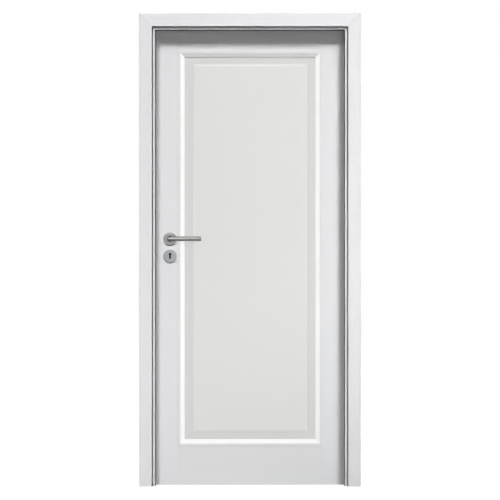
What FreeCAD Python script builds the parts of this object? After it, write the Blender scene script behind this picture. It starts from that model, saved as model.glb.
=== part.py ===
import FreeCAD, Part
import math
import os

# An interior door set: a rebated leaf with one raised panel, hung in a frame that wraps round the
# wall. Millimetres. +Z is up, +X points to the hinge side and +Y to the side the leaf opens towards.
# The pieces are drawn about the middle of the doorway and moved at the end, so that the origin lies
# at floor level, in the middle of the wall, on the face of the hinge jamb that is fixed to the wall.

Vector = FreeCAD.Vector

# Doorway and wall
PASSAGE_W = 820.0            # clear width between the jambs
PASSAGE_H = 1972.5           # clear height under the head
WALL_T = 100.0               # thickness of the wall that the frame wraps round

# Casings, the flat boards on both sides of the wall
CASING_T = 16.0
CASING_REACH = 68.5          # from the edge of the passage to the outer edge of a casing
CASING_ROUND = 1.2           # radius on the visible long edges

# Lining, the boards inside the doorway
LINING_T = 22.0
STOP_W = 13.0                # width of the stop that the leaf closes against
CHEEK_T = 9.0                # thickness of the cheek that shows inside the front casing
SHADOW_GAP = 4.5             # open joint between the cheek and the front casing
TONGUE_T = 5.0               # tongue of the front casing, which slides in the lining
TONGUE_L = 20.0
TONGUE_FIT = 0.2             # play at the side of the tongue
TONGUE_END_PLAY = 2.0        # play at the end of the tongue
LINING_ROUND = 1.5           # radius on the visible long edges

# Seal in the stop
SEAL_STEM_W = 3.6
SEAL_STEM_DEPTH = 5.5
SEAL_INSET = 4.8             # from the edge of the passage to the middle of the stem
SEAL_OUTER = 8.8             # from the same edge to the outer end of the seal's head
SEAL_LIP = 3.5               # how far the head shows inside the passage
SEAL_FIT = 0.2               # play round the stem
SEAL_TO_LEAF = 0.4           # the closed leaf stays this far from the seal

# Leaf
LEAF_T = 40.0
LIP_T = 15.0                 # thickness of the lip that overlaps the back casing
LIP_W = 13.0                 # how far the lip stands out from the body of the leaf
LIP_GAP = 5.0                # between the lip and the face of the back casing
STOP_GAP = 5.0               # between the leaf and the stop
SIDE_GAP = 6.0               # between the body of the leaf and the side of the rebate
HEAD_GAP = 6.5               # the same at the head
FLOOR_GAP = 5.0
LIP_ROUND = 2.5              # radius on the pull side's outer edge
EDGE_ROUND = 1.0             # radius on the other outer edges
STILE_W = 115.7              # measured on the push side
TOP_RAIL_H = 106.0           # measured on the push side
BOTTOM_RAIL_H = 178.5

# Mouldings round the panel
BAND_W = 13.0                # flat band that laps over the stiles and rails
BAND_PROUD = 1.6
BAND_ROUND = 1.2
SLOPE_W = 18.5               # sloping part, from the band down to the panel
SLOPE_DROP = 7.6
SLOPE_ROUND = 1.0
MOULDING_FIT = 0.2           # play between a moulding and the edge of the panel's opening

# Panel
BORDER_DEPTH = 9.0           # from the face of the leaf down to the panel's sunk border
BORDER_SIDE_W = 35.5         # border between the moulding and the raised field, at the sides
BORDER_END_W = 29.5          # the same at the top and bottom
BEVEL_W = 9.0                # bevel round the raised field
FIELD_RISE = 1.6
PANEL_FIT = 0.5              # play between the panel's edge and the stiles and rails

# Lever handles
LEVER_Z = 1069.0             # height of the spindle
BACKSET = 71.0               # from the lock edge of the leaf's body to the spindle
ROSE_R = 28.5
ROSE_T = 8.0
ROSE_ROUND = 2.5
COLLAR_R = 13.0              # raised ring round the lever's neck
COLLAR_T = 1.5
COLLAR_ROUND = 0.7
BAR_R = 9.5                  # round bar that the lever's neck and grip are made from
LEVER_STANDOFF = 50.0        # from the leaf to the bar's centre line
LEVER_REACH = 135.0          # from the spindle to the tip
TIP_ROUND = 1.8
NECK_FIT = 0.05              # running play of the neck in the rose
NECK_END_GAP = 0.3           # between the neck and the leaf
SPINDLE_SIDE = 8.0
SPINDLE_FIT = 0.05           # play of the square spindle in the levers
SPINDLE_SOCKET = 25.0        # depth of the square socket in each lever
SPINDLE_END_GAP = 1.0
SPINDLE_BORE_R = 8.5         # bore through the stile and the lock

# Keyhole
KEY_DROP = 75.0              # from the spindle down to the middle of the key escutcheon
KEYHOLE_R = 4.8
KEYHOLE_RISE = 8.5           # from the middle of the escutcheon up to the round part
KEYHOLE_DROP = 10.5          # from the middle of the escutcheon down to the slot's end
KEYHOLE_SLOT_W = 6.0
KEYHOLE_FIT = 0.8            # the hole in the stile is wider by this on every side
KEYHOLE_DEPTH = 5.0          # how far the key goes into the lock case

# Lock in the edge of the leaf
CASE_T = 15.0
CASE_DEPTH = 91.0            # from the face plate into the stile
CASE_END = 45.0              # from the spindle up, and from the key down, to the case's ends
CASE_FIT = 0.3               # play round the case in its mortise
PLATE_W = 20.0
PLATE_H = 235.0
PLATE_T = 3.0
BOLT_T = 11.0                # thickness of the latch and of the dead bolt
LATCH_H = 20.0
DEAD_BOLT_H = 26.0
BOLT_L = 25.0
BOLT_FIT = 0.2               # play round the bolts

# Strike plate in the rebate of the lock jamb
STRIKE_W = 21.0
STRIKE_H = 170.0
STRIKE_T = 2.0
STRIKE_INSET = 2.5           # from the stop to the plate
STRIKE_POCKET = 12.0         # depth of the pockets behind the plate
STRIKE_PLAY = 2.5            # the windows are wider than the bolts by this on every side
STRIKE_SIDE_PLAY = 0.5       # the same across their thickness

# Hinges
HINGE_FROM_TOP = 241.0       # from the top of the rebate down to the joint of the upper hinge
HINGE_SPACING = 1435.0
KNUCKLE_R = 7.5
KNUCKLE_H = 30.0
KNUCKLE_ROUND = 2.0
KNUCKLE_TO_LIP = 0.5         # between the knuckle and the lip's edge
RING_T = 1.0                 # bearing ring between the two knuckles
RING_R = 7.2
RING_PLAY = 0.1
HINGE_PIN_R = 3.5
PIN_RUN_FIT = 0.05           # running play in the leaf's knuckle
PIN_SEAT_FIT = 0.02          # play in the frame's knuckle
KNUCKLE_END_WALL = 6.0       # wall at the closed end of each knuckle
STEM_R = 3.5
STEM_PITCH = 15.0
STEM_FIT = 0.1               # play round the stems in the wood
STEM_IN_LEAF = 25.0          # how deep the stems go into the leaf
STEM_IN_CASING = 12.0

# Places that follow from those sizes, with x counted from the middle of the doorway
HALF_PASSAGE = PASSAGE_W / 2
WALL_FRONT = -WALL_T / 2
WALL_BACK = WALL_T / 2
FRONT_FACE = WALL_FRONT - CASING_T
BACK_FACE = WALL_BACK + CASING_T
LIP_INNER = BACK_FACE + LIP_GAP
PULL_FACE = LIP_INNER + LIP_T
PUSH_FACE = PULL_FACE - LEAF_T
STOP_FACE = PUSH_FACE - STOP_GAP
LEAF_MIDDLE = (PUSH_FACE + PULL_FACE) / 2
BODY_MIDDLE = (PUSH_FACE + LIP_INNER) / 2
LIP_MIDDLE = (LIP_INNER + PULL_FACE) / 2
REBATE_SIDE = HALF_PASSAGE + STOP_W
REBATE_TOP = PASSAGE_H + STOP_W
BODY_HALF = REBATE_SIDE - SIDE_GAP
BODY_TOP = REBATE_TOP - HEAD_GAP
LIP_HALF = BODY_HALF + LIP_W
LIP_TOP = BODY_TOP + LIP_W
OPENING_HALF = BODY_HALF - STILE_W
OPENING_LOW = FLOOR_GAP + BOTTOM_RAIL_H
OPENING_HIGH = BODY_TOP - TOP_RAIL_H
LEVER_X = -BODY_HALF + BACKSET
KEY_Z = LEVER_Z - KEY_DROP
LOCK_MIDDLE_Z = (LEVER_Z + KEY_Z) / 2
HINGE_X = LIP_HALF + KNUCKLE_TO_LIP + KNUCKLE_R
HINGE_JOINTS = {"upper": REBATE_TOP - HINGE_FROM_TOP,
                "lower": REBATE_TOP - HINGE_FROM_TOP - HINGE_SPACING}
TO_ORIGIN = Vector(-HALF_PASSAGE - LINING_T, 0, 0)
PAST = 5.0                   # how far a cutting tool reaches past the face that it cuts

X_AXIS = Vector(1, 0, 0)
Y_AXIS = Vector(0, 1, 0)
Z_AXIS = Vector(0, 0, 1)
NO_MOVE = Vector(0, 0, 0)


# Helpers for outlines and solids

def outline_face(corners):
    """Face in the XY plane from corners (x, y, radius), where a radius of 0 keeps a corner sharp."""
    starts, ends, arcs = [], [], []
    for index, (x, y, radius) in enumerate(corners):
        here = Vector(x, y, 0)
        before = Vector(*corners[index - 1][:2], 0) - here
        after = Vector(*corners[(index + 1) % len(corners)][:2], 0) - here
        before.normalize()
        after.normalize()
        half_angle = before.getAngle(after) / 2
        cut_back = radius / math.tan(half_angle)
        starts.append(here + before * cut_back)
        ends.append(here + after * cut_back)
        inward = before + after
        inward.normalize()
        arcs.append(here + inward * (radius / math.sin(half_angle) - radius))
    edges = []
    for index, (x, y, radius) in enumerate(corners):
        if radius > 0:
            edges.append(Part.Arc(starts[index], arcs[index], ends[index]).toShape())
        following = starts[(index + 1) % len(corners)]
        edges.append(Part.LineSegment(ends[index], following).toShape())
    return Part.Face(Part.Wire(edges))


def tidy(shape):
    """The shape with its split faces merged, as a plain solid where it is one."""
    merged = shape.removeSplitter()
    if len(merged.Solids) == 1:
        return merged.Solids[0]
    return merged


def block(low, high):
    """Box between two corners."""
    low, high = Vector(*low), Vector(*high)
    size = high - low
    return Part.makeBox(size.x, size.y, size.z, low)


def mitred_bar(face, half_length, outward, inward, square_foot=False):
    """Bar along Z with a section drawn as (outward, depth), its ends cut at 45 degrees.

    half_length is counted at outward 0; the section reaches from -inward to outward.
    """
    tall = half_length + outward + PAST
    bar = face.copy()
    bar.translate(Vector(0, 0, -tall))
    bar = bar.extrude(Vector(0, 0, 2 * tall))
    low_in = -half_length if square_foot else -(half_length - inward)
    low_out = -half_length if square_foot else -(half_length + outward)
    depth = bar.BoundBox
    corners = [(-inward, low_in), (outward, low_out), (outward, half_length + outward),
               (-inward, half_length - inward)]
    points = [Vector(x, depth.YMin - PAST, z) for x, z in corners]
    wedge = Part.Face(Part.makePolygon(points + points[:1]))
    wedge = wedge.extrude(Vector(0, depth.YLength + 2 * PAST, 0))
    return tidy(bar.common(wedge))


def turned(shape, degrees, x, z):
    """Copy of the shape, turned about Y and moved to (x, z)."""
    result = shape.copy()
    result.rotate(NO_MOVE, Y_AXIS, degrees)
    result.translate(Vector(x, 0, z))
    return result


def to_other_side(shape):
    """Mirror image across the middle of the doorway."""
    return shape.mirror(NO_MOVE, X_AXIS)


def to_pull_side(shape):
    """Mirror image across the middle of the leaf's thickness."""
    return shape.mirror(Vector(0, LEAF_MIDDLE, 0), Y_AXIS)


def frame_boards(face, outward, inward=0.0):
    """Hinge side, lock side and head of one layer of the frame, mitred at the top corners."""
    jamb = mitred_bar(face, PASSAGE_H / 2, outward, inward, square_foot=True)
    head = mitred_bar(face, HALF_PASSAGE, outward, inward)
    hinge_side = turned(jamb, 0, HALF_PASSAGE, PASSAGE_H / 2)
    return hinge_side, to_other_side(hinge_side), turned(head, -90, 0, PASSAGE_H)


# Frame

def front_casings():
    """The adjustable casings on the push side, each with its tongue."""
    inner = CHEEK_T + SHADOW_GAP
    face = outline_face([
        (inner, FRONT_FACE, CASING_ROUND), (CASING_REACH, FRONT_FACE, CASING_ROUND),
        (CASING_REACH, WALL_FRONT, 0), (inner + TONGUE_T, WALL_FRONT, 0),
        (inner + TONGUE_T, WALL_FRONT + TONGUE_L, 0), (inner, WALL_FRONT + TONGUE_L, 0)])
    return frame_boards(face, CASING_REACH)


def linings():
    """The lining boards, with the tongue's groove, the stop and the seal's groove."""
    groove_outer = CHEEK_T + SHADOW_GAP + TONGUE_T + TONGUE_FIT
    groove_floor = WALL_FRONT + TONGUE_L + TONGUE_END_PLAY
    seal_half = SEAL_STEM_W / 2 + SEAL_FIT
    seal_floor = STOP_FACE - SEAL_STEM_DEPTH - SEAL_FIT
    face = outline_face([
        (0, WALL_FRONT, LINING_ROUND), (CHEEK_T, WALL_FRONT, LINING_ROUND),
        (CHEEK_T, groove_floor, 0), (groove_outer, groove_floor, 0),
        (groove_outer, WALL_FRONT, 0), (LINING_T, WALL_FRONT, 0),
        (LINING_T, WALL_BACK, 0), (STOP_W, WALL_BACK, 0), (STOP_W, STOP_FACE, 0),
        (SEAL_INSET + seal_half, STOP_FACE, 0), (SEAL_INSET + seal_half, seal_floor, 0),
        (SEAL_INSET - seal_half, seal_floor, 0), (SEAL_INSET - seal_half, STOP_FACE, 0),
        (0, STOP_FACE, LINING_ROUND)])
    hinge_side, lock_side, head = frame_boards(face, LINING_T)
    return hinge_side, tidy(lock_side.cut(strike_plate_seat())), head


def back_casings():
    """The casings on the pull side, drilled for the hinges and cut for the strike plate."""
    face = outline_face([
        (STOP_W, WALL_BACK, 0), (CASING_REACH, WALL_BACK, 0),
        (CASING_REACH, BACK_FACE, CASING_ROUND), (STOP_W, BACK_FACE, CASING_ROUND)])
    hinge_side, lock_side, head = frame_boards(face, CASING_REACH)
    for joint_z in HINGE_JOINTS.values():
        for stem_z in stem_heights(frame_knuckle_low(joint_z)):
            foot = Vector(HINGE_X, BACK_FACE - STEM_IN_CASING - STEM_FIT, stem_z)
            hinge_side = hinge_side.cut(
                Part.makeCylinder(STEM_R + STEM_FIT, STEM_IN_CASING + STEM_FIT + PAST, foot, Y_AXIS))
    lock_side = lock_side.cut(strike_plate_seat())
    for low_z, high_z in bolt_spans(STRIKE_PLAY):
        half = BOLT_T / 2 + STRIKE_SIDE_PLAY
        lock_side = lock_side.cut(block(
            (-REBATE_SIDE - STRIKE_POCKET, BODY_MIDDLE - half, low_z),
            (-REBATE_SIDE, BODY_MIDDLE + half, high_z)))
    return tidy(hinge_side), tidy(lock_side), head


def seals():
    """The seal strips, a stem in the stop's groove and a domed head that shows inside the passage."""
    stem = SEAL_STEM_W / 2
    root = STOP_FACE - SEAL_STEM_DEPTH
    crown = Vector((SEAL_OUTER - SEAL_LIP) / 2, PUSH_FACE - SEAL_TO_LEAF, 0)
    points = [Vector(SEAL_OUTER, STOP_FACE, 0), Vector(SEAL_INSET + stem, STOP_FACE, 0),
              Vector(SEAL_INSET + stem, root, 0), Vector(SEAL_INSET - stem, root, 0),
              Vector(SEAL_INSET - stem, STOP_FACE, 0), Vector(-SEAL_LIP, STOP_FACE, 0)]
    edges = [Part.LineSegment(a, b).toShape() for a, b in zip(points, points[1:])]
    edges.append(Part.Arc(points[-1], crown, points[0]).toShape())
    return frame_boards(Part.Face(Part.Wire(edges)), LINING_T, SEAL_LIP)


def bolt_spans(play):
    """Lowest and highest z of the latch and of the dead bolt, widened by the play."""
    return [(LEVER_Z - LATCH_H / 2 - play, LEVER_Z + LATCH_H / 2 + play),
            (KEY_Z - DEAD_BOLT_H / 2 - play, KEY_Z + DEAD_BOLT_H / 2 + play)]


def strike_plate_seat():
    """The strike plate's full outline, which is also the recess that it lies in."""
    low_y = STOP_FACE + STRIKE_INSET
    return block((-REBATE_SIDE - STRIKE_T, low_y, LOCK_MIDDLE_Z - STRIKE_H / 2),
                 (-REBATE_SIDE, low_y + STRIKE_W, LOCK_MIDDLE_Z + STRIKE_H / 2))


def strike_plate():
    """The plate in the rebate, with a window for the latch and one for the dead bolt."""
    plate = strike_plate_seat()
    half = BOLT_T / 2 + STRIKE_SIDE_PLAY
    for low_z, high_z in bolt_spans(STRIKE_PLAY):
        plate = plate.cut(block((-REBATE_SIDE - STRIKE_T - PAST, BODY_MIDDLE - half, low_z),
                                (-REBATE_SIDE + PAST, BODY_MIDDLE + half, high_z)))
    return tidy(plate)


# Hinges

def frame_knuckle_low(joint_z):
    """Lowest z of the frame's knuckle under a hinge's joint."""
    return joint_z - KNUCKLE_H


def leaf_knuckle_low(joint_z):
    """Lowest z of the leaf's knuckle, which rides on the bearing ring."""
    return joint_z + RING_T + RING_PLAY


def stem_heights(knuckle_low):
    """Heights of the two stems of a knuckle."""
    middle = knuckle_low + KNUCKLE_H / 2
    return [middle - STEM_PITCH / 2, middle + STEM_PITCH / 2]


def knuckle(low_z, bore_r, closed_at_top):
    """One knuckle with a blind bore for the pin and a rounded closed end."""
    sides = [(0, 0, 0), (KNUCKLE_R, 0, KNUCKLE_ROUND), (KNUCKLE_R, KNUCKLE_H, 0), (0, KNUCKLE_H, 0)]
    body = outline_face(sides)
    body.rotate(NO_MOVE, X_AXIS, 90)
    body = body.revolve(NO_MOVE, Z_AXIS, 360)
    bore = Part.makeCylinder(bore_r, KNUCKLE_H - KNUCKLE_END_WALL + PAST, Vector(0, 0, KNUCKLE_END_WALL))
    body = body.cut(bore)
    if closed_at_top:
        body.rotate(Vector(0, 0, KNUCKLE_H / 2), X_AXIS, 180)
    body.translate(Vector(HINGE_X, LIP_MIDDLE, low_z))
    return body


def stems(knuckle_low, direction, end_distance):
    """The two stems of a knuckle, from inside its wall to end_distance from the hinge axis."""
    start = (KNUCKLE_R + HINGE_PIN_R) / 2
    return [Part.makeCylinder(STEM_R, end_distance - start,
                              Vector(HINGE_X, LIP_MIDDLE, z) + direction * start, direction)
            for z in stem_heights(knuckle_low)]


def hinge_frame_part(joint_z):
    """The lower knuckle, with its stems in the back casing."""
    low = frame_knuckle_low(joint_z)
    body = knuckle(low, HINGE_PIN_R + PIN_SEAT_FIT, closed_at_top=False)
    reach = LIP_MIDDLE - BACK_FACE + STEM_IN_CASING
    return tidy(body.multiFuse(stems(low, -Y_AXIS, reach)))


def hinge_leaf_part(joint_z):
    """The upper knuckle, with its stems in the edge of the lip."""
    low = leaf_knuckle_low(joint_z)
    body = knuckle(low, HINGE_PIN_R + PIN_RUN_FIT, closed_at_top=True)
    reach = HINGE_X - LIP_HALF + STEM_IN_LEAF
    return tidy(body.multiFuse(stems(low, -X_AXIS, reach)))


def hinge_pin(joint_z):
    """The pin, standing in the frame's knuckle, with the bearing ring round its middle."""
    pin_low = frame_knuckle_low(joint_z) + KNUCKLE_END_WALL + PIN_SEAT_FIT
    pin_high = leaf_knuckle_low(joint_z) + KNUCKLE_H - KNUCKLE_END_WALL - RING_PLAY
    pin = Part.makeCylinder(HINGE_PIN_R, pin_high - pin_low, Vector(HINGE_X, LIP_MIDDLE, pin_low))
    ring = Part.makeCylinder(RING_R, RING_T, Vector(HINGE_X, LIP_MIDDLE, joint_z))
    return tidy(pin.fuse(ring))


# Leaf

def leaf_height_section(low_z, left, right):
    """The leaf's section as seen from the side, from low_z to the top, run from left to right."""
    face = outline_face([
        (PUSH_FACE, low_z, 0), (PUSH_FACE, BODY_TOP, EDGE_ROUND), (LIP_INNER, BODY_TOP, 0),
        (LIP_INNER, LIP_TOP, EDGE_ROUND), (PULL_FACE, LIP_TOP, LIP_ROUND), (PULL_FACE, low_z, 0)])
    face.rotate(NO_MOVE, Vector(1, 1, 1), 120)
    face.translate(Vector(left, 0, 0))
    return face.extrude(Vector(right - left, 0, 0))


def hinge_stile_blank():
    """One stile, with the lip along its outer edge and across its top."""
    plan = outline_face([
        (OPENING_HALF, PUSH_FACE, 0), (BODY_HALF, PUSH_FACE, EDGE_ROUND), (BODY_HALF, LIP_INNER, 0),
        (LIP_HALF, LIP_INNER, EDGE_ROUND), (LIP_HALF, PULL_FACE, LIP_ROUND), (OPENING_HALF, PULL_FACE, 0)])
    plan.translate(Vector(0, 0, FLOOR_GAP))
    upright = plan.extrude(Vector(0, 0, LIP_TOP - FLOOR_GAP))
    return tidy(upright.common(leaf_height_section(FLOOR_GAP, OPENING_HALF, LIP_HALF)))


def hinge_stile():
    """The stile that the hinges are fixed to, drilled for their stems."""
    stile = hinge_stile_blank()
    for joint_z in HINGE_JOINTS.values():
        for stem_z in stem_heights(leaf_knuckle_low(joint_z)):
            mouth = Vector(LIP_HALF + PAST, LIP_MIDDLE, stem_z)
            stile = stile.cut(
                Part.makeCylinder(STEM_R + STEM_FIT, PAST + STEM_IN_LEAF + STEM_FIT, mouth, -X_AXIS))
    return tidy(stile)


def lock_stile():
    """The stile that holds the lock, with its mortise, the spindle's bore and the keyhole."""
    stile = to_other_side(hinge_stile_blank())
    stile = stile.cut(lock_case_block(CASE_FIT)).cut(face_plate_blank())
    bore = Part.makeCylinder(SPINDLE_BORE_R, LEAF_T + 2 * PAST,
                             Vector(LEVER_X, PUSH_FACE - PAST, LEVER_Z), Y_AXIS)
    return tidy(stile.cut(bore).cut(keyhole(KEYHOLE_FIT, PUSH_FACE - PAST, PULL_FACE + PAST)))


def top_rail():
    """The rail over the panel, with the lip along its top."""
    return tidy(leaf_height_section(OPENING_HIGH, -OPENING_HALF, OPENING_HALF))


def bottom_rail():
    """The rail under the panel."""
    return block((-OPENING_HALF, PUSH_FACE, FLOOR_GAP), (OPENING_HALF, PULL_FACE, OPENING_LOW))


def panel():
    """The panel, with a sunk border and a raised field on both faces."""
    edge_x = OPENING_HALF - PANEL_FIT
    edge_low = OPENING_LOW + PANEL_FIT
    edge_high = OPENING_HIGH - PANEL_FIT
    border_y = PUSH_FACE + BORDER_DEPTH
    slab = block((-edge_x, border_y, edge_low),
                 (edge_x, PULL_FACE - BORDER_DEPTH, edge_high))
    foot_x = OPENING_HALF - SLOPE_W - BORDER_SIDE_W
    foot_low = OPENING_LOW + SLOPE_W + BORDER_END_W
    foot_high = OPENING_HIGH - SLOPE_W - BORDER_END_W
    field = Part.makeWedge(-foot_x, 0, foot_low, foot_low + BEVEL_W, -foot_x + BEVEL_W,
                           foot_x, FIELD_RISE, foot_high, foot_high - BEVEL_W, foot_x - BEVEL_W)
    field = field.mirror(NO_MOVE, Y_AXIS)
    field.translate(Vector(0, border_y, 0))
    return tidy(slab.fuse(field).fuse(to_pull_side(field)))


def mouldings():
    """The four mitred mouldings on the push side, by the side of the panel that they lie on."""
    crest = PUSH_FACE - BAND_PROUD
    face = outline_face([
        (BAND_W, PUSH_FACE, 0), (BAND_W, crest, BAND_ROUND), (0, crest, SLOPE_ROUND),
        (-SLOPE_W, crest + SLOPE_DROP, SLOPE_ROUND), (-SLOPE_W, PUSH_FACE + BORDER_DEPTH, 0),
        (-MOULDING_FIT, PUSH_FACE + BORDER_DEPTH, 0), (-MOULDING_FIT, PUSH_FACE, 0)])
    half_height = (OPENING_HIGH - OPENING_LOW) / 2
    middle_z = (OPENING_HIGH + OPENING_LOW) / 2
    upright = mitred_bar(face, half_height, BAND_W, SLOPE_W)
    level = mitred_bar(face, OPENING_HALF, BAND_W, SLOPE_W)
    hinge_side = turned(upright, 0, OPENING_HALF, middle_z)
    return {"hinge": hinge_side, "lock": to_other_side(hinge_side),
            "top": turned(level, -90, 0, OPENING_HIGH), "bottom": turned(level, 90, 0, OPENING_LOW)}


# Lock

def keyhole(play, low_y, high_y):
    """The keyhole's round part and slot as one solid along Y."""
    height = high_y - low_y
    half_slot = KEYHOLE_SLOT_W / 2 + play
    round_z = KEY_Z + KEYHOLE_RISE
    head = Part.makeCylinder(KEYHOLE_R + play, height, Vector(LEVER_X, low_y, round_z), Y_AXIS)
    slot = block((LEVER_X - half_slot, low_y, KEY_Z - KEYHOLE_DROP - play),
                 (LEVER_X + half_slot, high_y, round_z))
    return tidy(head.fuse(slot))


def lock_case_block(play):
    """The lock case's outline, which widened by its play is the mortise that it lies in."""
    half = CASE_T / 2 + play
    front_x = -BODY_HALF + PLATE_T
    return block((front_x, BODY_MIDDLE - half, KEY_Z - CASE_END - play),
                 (front_x + CASE_DEPTH + play, BODY_MIDDLE + half, LEVER_Z + CASE_END + play))


def lock_case():
    """The lock case, bored for the spindle, with a keyhole from each side and the bolts' channels."""
    case = lock_case_block(0.0)
    bore = Part.makeCylinder(SPINDLE_BORE_R, CASE_T + 2 * PAST,
                             Vector(LEVER_X, BODY_MIDDLE - CASE_T / 2 - PAST, LEVER_Z), Y_AXIS)
    case = case.cut(bore)
    front = BODY_MIDDLE - CASE_T / 2
    back = BODY_MIDDLE + CASE_T / 2
    case = case.cut(keyhole(0.0, front - PAST, front + KEYHOLE_DEPTH))
    case = case.cut(keyhole(0.0, back - KEYHOLE_DEPTH, back + PAST))
    for low_z, high_z in bolt_spans(BOLT_FIT):
        case = case.cut(bolt_block(low_z, high_z, BOLT_FIT))
    return tidy(case)


def bolt_block(low_z, high_z, play):
    """A bolt from the face plate's outer face into the case, widened by the play."""
    half = BOLT_T / 2 + play
    return block((-BODY_HALF, BODY_MIDDLE - half, low_z),
                 (-BODY_HALF + BOLT_L + play, BODY_MIDDLE + half, high_z))


def bolts():
    """The latch and the dead bolt, drawn back flush with the face plate."""
    return [bolt_block(low_z, high_z, 0.0) for low_z, high_z in bolt_spans(0.0)]


def face_plate_blank():
    """The face plate with round ends, which is also the recess that it lies in."""
    half = PLATE_W / 2
    straight = PLATE_H / 2 - half
    plate = block((-BODY_HALF, BODY_MIDDLE - half, LOCK_MIDDLE_Z - straight),
                  (-BODY_HALF + PLATE_T, BODY_MIDDLE + half, LOCK_MIDDLE_Z + straight))
    ends = [Part.makeCylinder(half, PLATE_T, Vector(-BODY_HALF, BODY_MIDDLE, z), X_AXIS)
            for z in (LOCK_MIDDLE_Z - straight, LOCK_MIDDLE_Z + straight)]
    return tidy(plate.multiFuse(ends))


def face_plate():
    """The face plate on the lock edge, with its windows for the bolts."""
    plate = face_plate_blank()
    for low_z, high_z in bolt_spans(BOLT_FIT):
        plate = plate.cut(bolt_block(low_z, high_z, BOLT_FIT))
    return tidy(plate)


# Handles

def disc_on_leaf(corners, z):
    """Turned piece on the push side, from corners (radius, height off the leaf, rounding)."""
    section = outline_face([(radius, -height, rounding) for radius, height, rounding in corners])
    disc = section.revolve(NO_MOVE, Y_AXIS, 360)
    disc.translate(Vector(LEVER_X, PUSH_FACE, z))
    return disc


def lever_rose():
    """The lever's round rose, whose raised collar is the neck's bearing."""
    bore = BAR_R + NECK_FIT
    crown = ROSE_T + COLLAR_T
    return disc_on_leaf([(bore, 0, 0), (ROSE_R, 0, 0), (ROSE_R, ROSE_T, ROSE_ROUND),
                         (COLLAR_R, ROSE_T, 0), (COLLAR_R, crown, COLLAR_ROUND),
                         (bore, crown, 0)], LEVER_Z)


def key_escutcheon():
    """The round escutcheon over the keyhole."""
    disc = disc_on_leaf([(0, 0, 0), (ROSE_R, 0, 0), (ROSE_R, ROSE_T, ROSE_ROUND), (0, ROSE_T, 0)], KEY_Z)
    return tidy(disc.cut(keyhole(0.0, PUSH_FACE - ROSE_T - PAST, PUSH_FACE + PAST)))


def lever():
    """One lever: neck and grip, mitred at their corner, with a square socket for the spindle."""
    corner = Vector(0, -LEVER_STANDOFF, 0)
    past_corner = BAR_R + PAST
    neck = Part.makeCylinder(BAR_R, LEVER_STANDOFF - NECK_END_GAP + past_corner,
                             Vector(0, -NECK_END_GAP, 0), -Y_AXIS)
    grip = Part.makeCylinder(BAR_R, LEVER_REACH + past_corner, corner - X_AXIS * past_corner, X_AXIS)
    tip = [edge for edge in grip.Edges if edge.BoundBox.XMin > LEVER_REACH - TIP_ROUND]
    grip = grip.makeFillet(TIP_ROUND, tip)
    neck_side = block((-LEVER_REACH, 0, -LEVER_REACH), (LEVER_REACH, LEVER_REACH, LEVER_REACH))
    neck_side.rotate(NO_MOVE, Z_AXIS, 45)
    neck_side.translate(corner)
    half = SPINDLE_SIDE / 2 + SPINDLE_FIT
    socket = block((-half, -SPINDLE_SOCKET, -half), (half, PAST, half))
    body = tidy(neck.common(neck_side).fuse(grip.cut(neck_side)).cut(socket))
    body.translate(Vector(LEVER_X, PUSH_FACE, LEVER_Z))
    return body


def spindle():
    """The square spindle that joins the two levers through the lock."""
    half = SPINDLE_SIDE / 2
    reach = SPINDLE_SOCKET - SPINDLE_END_GAP
    return block((LEVER_X - half, PUSH_FACE - reach, LEVER_Z - half),
                 (LEVER_X + half, PULL_FACE + reach, LEVER_Z + half))


def all_nodes():
    """Every piece by its name."""
    nodes = {}
    layers = {"front_casing": front_casings(), "lining": linings(),
              "back_casing": back_casings(), "seal": seals()}
    for layer, (hinge_side, lock_side, head) in layers.items():
        nodes[layer + "_hinge_side"] = hinge_side
        nodes[layer + "_lock_side"] = lock_side
        nodes[layer + "_head"] = head
    nodes["strike_plate"] = strike_plate()
    for place, joint_z in HINGE_JOINTS.items():
        nodes[place + "_hinge_frame_part"] = hinge_frame_part(joint_z)
        nodes[place + "_hinge_leaf_part"] = hinge_leaf_part(joint_z)
        nodes[place + "_hinge_pin"] = hinge_pin(joint_z)
    nodes["hinge_stile"] = hinge_stile()
    nodes["lock_stile"] = lock_stile()
    nodes["top_rail"] = top_rail()
    nodes["bottom_rail"] = bottom_rail()
    nodes["panel"] = panel()
    for side, moulding in mouldings().items():
        nodes["front_moulding_" + side] = moulding
        nodes["back_moulding_" + side] = to_pull_side(moulding)
    nodes["lock_case"] = lock_case()
    nodes["lock_face_plate"] = face_plate()
    nodes["latch_bolt"], nodes["dead_bolt"] = bolts()
    for name, piece in (("lever_rose", lever_rose()), ("key_escutcheon", key_escutcheon()),
                        ("lever", lever())):
        nodes["front_" + name] = piece
        nodes["back_" + name] = to_pull_side(piece)
    nodes["spindle"] = spindle()
    return nodes


os.makedirs("parts", exist_ok=True)
for node_name, node_shape in all_nodes().items():
    node_shape.translated(TO_ORIGIN).exportStep("parts/" + node_name + ".step")
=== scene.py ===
import logging
import math
from dataclasses import dataclass
from enum import Enum
from typing import Any, Callable, Sequence

import bmesh
import bpy
from mathutils import Matrix, Vector


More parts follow.
